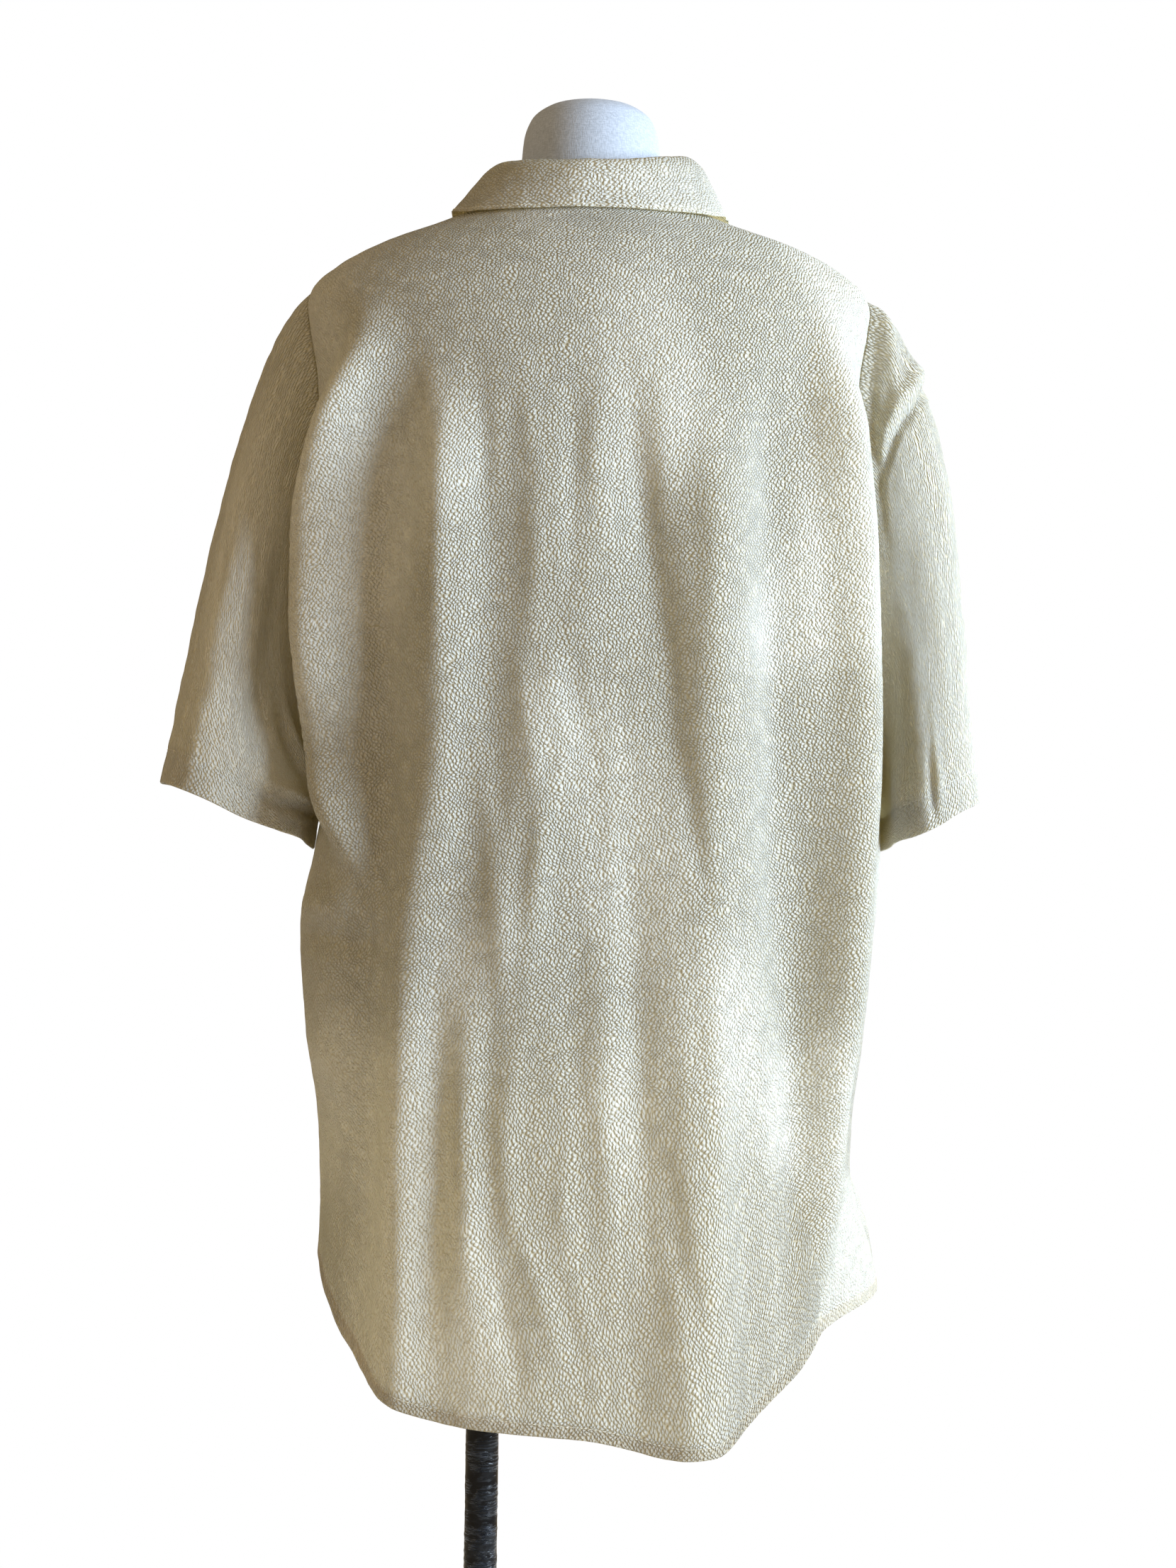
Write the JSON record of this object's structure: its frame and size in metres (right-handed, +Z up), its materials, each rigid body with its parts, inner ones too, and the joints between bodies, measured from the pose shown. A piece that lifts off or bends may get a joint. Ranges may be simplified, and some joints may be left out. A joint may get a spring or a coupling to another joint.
{
  "type": "oversized shirt on dress form",
  "caption": "Oversized short-sleeved camp-collar shirt of crinkled crepe with a curved shirt-tail hem, worn by a limbless dress form on a pole and round base.",
  "frame": {"origin": "centre of the round base's underside, on the pole's axis", "axes": "+Z up the pole, +Y towards the wearer's back, +X towards the wearer's left"},
  "size_m": [0.6206, 0.36, 1.5],
  "materials": {
    "crepe_cloth": "crinkled crepe, matt",
    "button": "satin",
    "form_jersey": "fine jersey, matt",
    "pole_wrap": "glossy film",
    "stand_metal": "satin"
  },
  "bodies": {
    "root": {"back": "crepe_cloth", "front_left": "crepe_cloth", "front_right": "crepe_cloth", "sleeve_left": "crepe_cloth", "sleeve_right": "crepe_cloth", "collar": "crepe_cloth", "facing_left": "crepe_cloth", "facing_right": "crepe_cloth", "button_1": "button", "button_2": "button", "button_3": "button", "button_4": "button", "button_5": "button", "button_6": "button", "form_torso": "form_jersey", "form_pole": "pole_wrap", "form_socket": "stand_metal", "form_base": "stand_metal", "form_flange": "stand_metal"}
  },
  "joints": []
}
